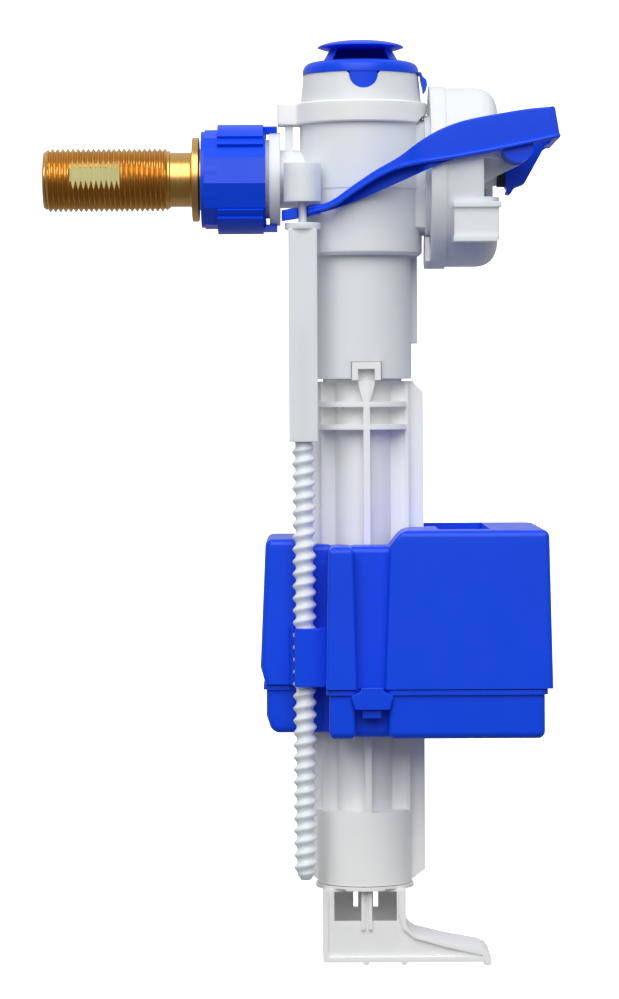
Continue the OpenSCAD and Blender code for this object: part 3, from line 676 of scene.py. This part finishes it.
# ---------------------------------------------------------------- CAD shapes with rounded edges

for node, width in (("top_cap", 0.25), ("cover_ring", 0.5), ("pull_sleeve", 0.3), ("support_foot", 0.25)):
    softened(node, width)
softened("retaining_ring", 0.5, open_ring=True)


# ---------------------------------------------------------------- camera

CAMERA = Vector((30.35, -956, -57.9)) * MM
camera_data = bpy.data.cameras.new("camera")
camera_data.sensor_fit = "VERTICAL"
camera_data.sensor_height = 36
camera_data.lens = 131.5
camera_data.shift_y = -0.0994
camera_data.clip_end = 20
camera = bpy.data.objects.new("camera", camera_data)
camera.location = CAMERA
camera.rotation_euler = (math.radians(90), math.radians(0.3), 0)
bpy.context.scene.collection.objects.link(camera)
bpy.context.scene.camera = camera


# ---------------------------------------------------------------- studio

def ramp_along(nodes, links, source, stops):
    """Grey levels along one part of the view direction, which runs from -1 to 1."""
    fit = nodes.new("ShaderNodeMapRange")
    fit.inputs["From Min"].default_value = -1
    links.new(source, fit.inputs["Value"])
    ramp = nodes.new("ShaderNodeValToRGB")
    while len(ramp.color_ramp.elements) < len(stops):
        ramp.color_ramp.elements.new(0.5)
    for element, (position, grey) in zip(ramp.color_ramp.elements, stops):
        element.position = position
        element.color = (grey, grey, grey, 1)
    links.new(fit.outputs["Result"], ramp.inputs["Fac"])
    return ramp.outputs["Color"]


def world_light():
    """A white studio, dim below and behind the camera, bright above and behind the object."""
    world = bpy.data.worlds.new("studio")
    bpy.context.scene.world = world
    world.use_nodes = True
    nodes, links = world.node_tree.nodes, world.node_tree.links
    place = nodes.new("ShaderNodeTexCoord")
    split = nodes.new("ShaderNodeSeparateXYZ")
    links.new(place.outputs["Generated"], split.inputs["Vector"])
    front_to_back = [(0.0, 0.42), (0.42, 0.50), (0.60, 0.95), (1.0, 1.0)]
    down_to_up = [(0.0, 0.40), (0.42, 0.50), (0.56, 0.80), (1.0, 1.0)]
    depth = ramp_along(nodes, links, split.outputs["Y"], front_to_back)
    height = ramp_along(nodes, links, split.outputs["Z"], down_to_up)
    both = nodes.new("ShaderNodeMixRGB")
    both.blend_type = "MULTIPLY"
    both.inputs["Fac"].default_value = 1
    links.new(depth, both.inputs["Color1"])
    links.new(height, both.inputs["Color2"])
    sky = nodes["Background"]
    links.new(both.outputs["Color"], sky.inputs["Color"])
    sky.inputs["Strength"].default_value = 0.8


world_light()
bpy.context.scene.view_settings.view_transform = "Standard"


def area_light(name, place, target, size, power):
    """A square soft box that points at a target, in metres and watts."""
    data = bpy.data.lights.new(name, "AREA")
    data.size = size
    data.energy = power
    lamp = bpy.data.objects.new(name, data)
    lamp.location = place
    lamp.rotation_euler = (Vector(target) - Vector(place)).to_track_quat("-Z", "Y").to_euler()
    lamp.visible_camera = False
    bpy.context.scene.collection.objects.link(lamp)


area_light("key_box", (-0.2, -2.15, 1.8), (0.03, 0, -0.07), 2.9, 87)


def backdrop():
    """A pale floor all round that curves up into a wall. Only the camera sees it, so it adds no light."""
    floor_z = cad_low.z / MM - 0.2
    bend, wall_r, top = 600, 2200, 2600
    side = [(0.5, floor_z)] + [(wall_r - bend + bend * math.sin(t), floor_z + bend * (1 - math.cos(t)))
                               for t in [math.radians(90 * i / 16) for i in range(17)]] + [(wall_r, top)]
    mesh = to_mesh("backdrop", [skin([round_ring((0, 0), r, z, 96) for r, z in side], caps=False)])
    obj = bpy.data.objects.new("backdrop", mesh)
    bpy.context.scene.collection.objects.link(obj)
    mesh.polygons.foreach_set("use_smooth", [True] * len(mesh.polygons))
    for ray in ("diffuse", "glossy", "transmission", "volume_scatter", "shadow"):
        setattr(obj, f"visible_{ray}", False)
    paper = bpy.data.materials.new("paper")
    paper.use_nodes = True
    shader = paper.node_tree.nodes["Principled BSDF"]
    shader.inputs["Base Color"].default_value = (0.9, 0.9, 0.9, 1)
    shader.inputs["Roughness"].default_value = 1
    shader.inputs["Emission Color"].default_value = (1, 1, 1, 1)
    shader.inputs["Emission Strength"].default_value = 1.0
    mesh.materials.append(paper)


backdrop()
